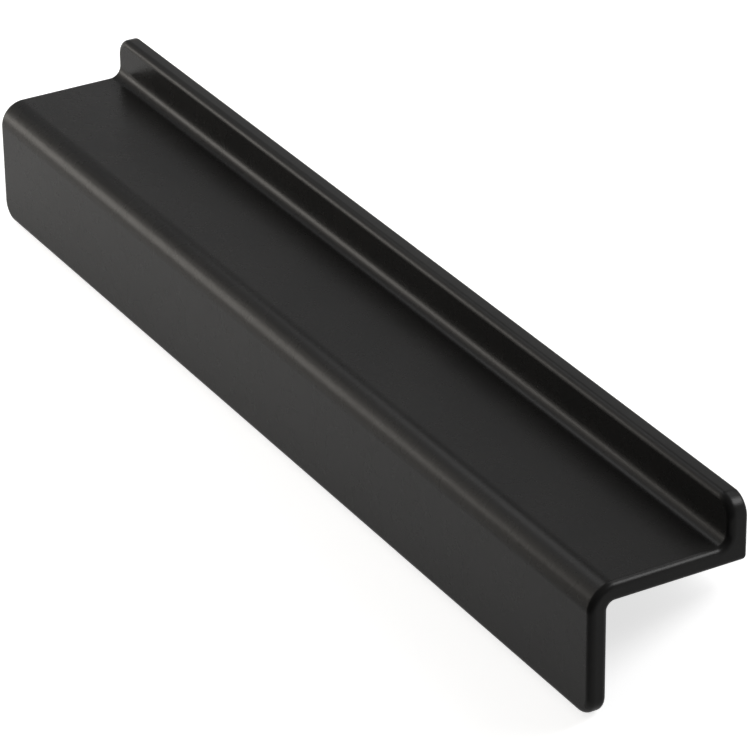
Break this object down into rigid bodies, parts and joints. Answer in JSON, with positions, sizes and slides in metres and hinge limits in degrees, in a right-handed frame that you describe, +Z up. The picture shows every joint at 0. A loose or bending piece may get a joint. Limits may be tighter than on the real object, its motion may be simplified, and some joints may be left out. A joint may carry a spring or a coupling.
{
  "type": "finger pull profile",
  "caption": "Matt black Z-section finger pull with a hanging front flange, a level web, a low rear lip and tapped bosses under the web for screws from behind.",
  "frame": {"origin": "centre of the bottom of the piece as it rests by itself on a level floor", "axes": "+X along the pull, +Y from the front flange towards the mounting face, +Z up; the piece is stored tipped back on the foot of its flange and on its two bosses, so the mounting face looks back and down"},
  "size_m": [0.2, 0.0388, 0.019],
  "materials": {
    "matt_black_coat": "fine matt black powder coat on cast zinc alloy"
  },
  "bodies": {
    "root": {"finger_pull_profile": "matt_black_coat"}
  },
  "joints": []
}
